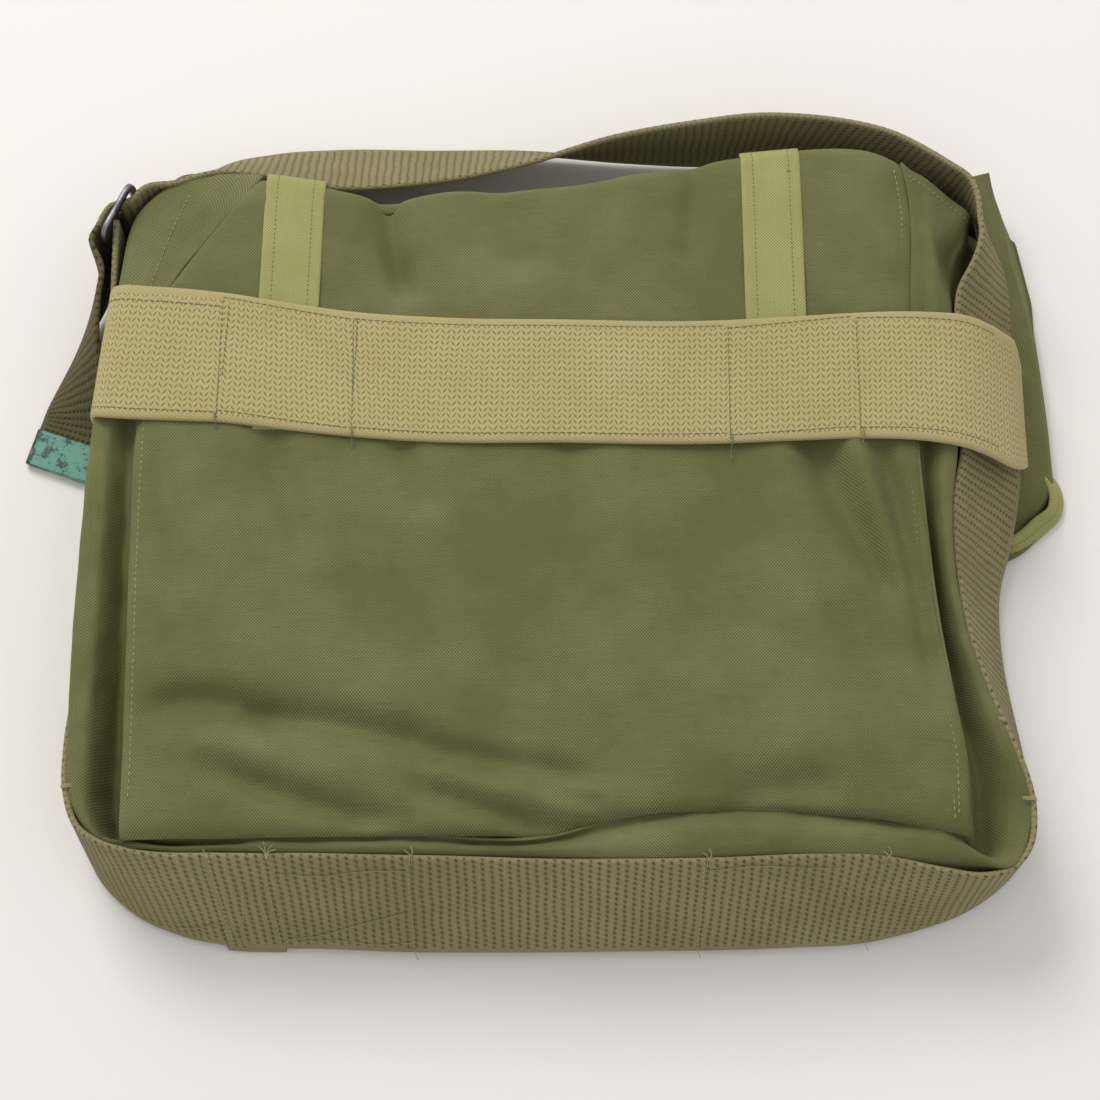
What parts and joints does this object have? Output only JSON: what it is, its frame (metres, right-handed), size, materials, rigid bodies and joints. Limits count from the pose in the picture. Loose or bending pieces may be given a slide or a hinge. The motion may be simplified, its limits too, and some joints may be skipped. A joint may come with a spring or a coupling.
{
  "type": "canvas shoulder camera bag",
  "caption": "Soft canvas camera bag lying on its front, with a box gusset, a folded lid, a webbing belt band, closure straps and a shoulder strap with a slide buckle and a tipped tail",
  "frame": {"origin": "under the middle of the bounding box, on the surface that the bag lies on", "axes": "+X to the right of the back panel seen with the mouth at the top, +Y towards the mouth of the bag, +Z out of the back panel"},
  "size_m": [0.4462, 0.3617, 0.0692],
  "materials": {
    "canvas": "plain-woven cotton duck, matt, washed olive",
    "belt_web": "broken-twill cotton webbing, sand",
    "strap_web": "heavy ribbed cotton webbing, brownish olive",
    "closure_web": "fine-ribbed cotton webbing, faded light olive",
    "snap_brass": "dull pressed brass",
    "tip_brass": "blackened brass with green patina and a bare lower edge",
    "buckle_steel": "worn blackened steel",
    "felt": "dense padding felt",
    "board": "stiff bag board"
  },
  "bodies": {
    "bag": {"back_panel": "canvas", "front_panel": "canvas", "gusset": "canvas", "belt_band": "belt_web", "strap_cradle": "strap_web", "strap_lap": "strap_web", "bottom_stiffener": "board", "divider_left": "felt", "divider_right": "felt", "closure_rear_left": "closure_web", "closure_rear_right": "closure_web", "snap_stud_left": "snap_brass", "snap_stud_right": "snap_brass", "stud_washer_left": "snap_brass", "stud_washer_right": "snap_brass"},
    "lid": {"lid_crown": "canvas", "lid_front": "canvas", "lid_ear_left": "canvas", "lid_ear_right": "canvas", "ear_loop": "closure_web", "closure_crown_left": "closure_web", "closure_crown_right": "closure_web", "closure_front_left": "closure_web", "closure_front_right": "closure_web"},
    "tab_left": {"closure_tab_left": "closure_web", "snap_cap_left": "snap_brass"},
    "tab_right": {"closure_tab_right": "closure_web", "snap_cap_right": "snap_brass"},
    "shoulder_strap": {"strap_loop": "strap_web", "buckle_chape": "strap_web", "buckle_frame": "buckle_steel", "buckle_bar": "buckle_steel"},
    "strap_end": {"strap_tail": "strap_web", "tail_tip": "tip_brass"}
  },
  "joints": [
    {"name": "lid_hinge", "type": "hinge", "parent": "bag", "child": "lid", "pos_m": [0, 0.14385, 0.0614], "axis": [1, 0, 0], "range_deg": [0, 135], "deforming": ["strap_loop"]},
    {"name": "tab_left_fold", "type": "hinge", "parent": "lid", "child": "tab_left", "pos_m": [-0.1043, -0.01735, 0], "axis": [1, 0, 0], "range_deg": [0, 100]},
    {"name": "tab_right_fold", "type": "hinge", "parent": "lid", "child": "tab_right", "pos_m": [0.0967, -0.01735, 0], "axis": [1, 0, 0], "range_deg": [0, 100]},
    {"name": "strap_swing", "type": "hinge", "parent": "bag", "child": "shoulder_strap", "pos_m": [0, 0.09625, 0.03], "axis": [1, 0, 0], "range_deg": [0, 75]},
    {"name": "tail_swing", "type": "hinge", "parent": "shoulder_strap", "child": "strap_end", "pos_m": [-0.1798, 0.12385, 0.03], "axis": [0, 0, -1], "range_deg": [0, 50]}
  ]
}
